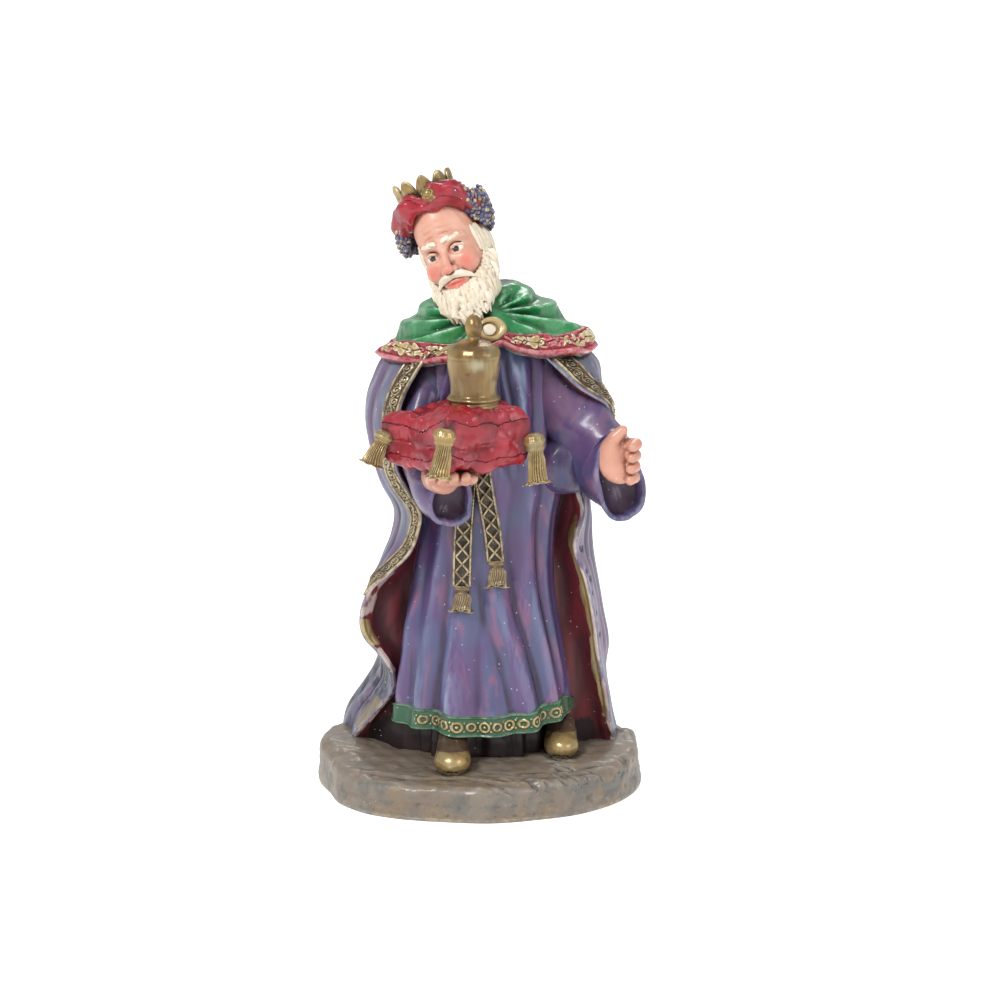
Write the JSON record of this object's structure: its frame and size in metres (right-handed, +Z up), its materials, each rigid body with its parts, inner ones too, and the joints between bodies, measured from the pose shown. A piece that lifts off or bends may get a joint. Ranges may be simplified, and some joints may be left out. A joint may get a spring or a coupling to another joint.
{
  "type": "nativity wise man figurine",
  "caption": "Standing robed king with a turban crown and short cape, carrying a lidded jar on a tasselled cushion, cast as one with its rock base.",
  "frame": {"origin": "centre of the rock base's flat underside", "axes": "+Z up along the figure, -Y the way the king faces, +X to his left hand"},
  "size_m": [0.0605, 0.0623, 0.1137],
  "materials": {
    "painted_resin": "cast polyresin, hand painted in violet, green, crimson, flesh and antique gold with a dark wash in the folds, under an uneven satin varnish"
  },
  "bodies": {
    "root": {"wise_man_figurine": "painted_resin"}
  },
  "joints": []
}
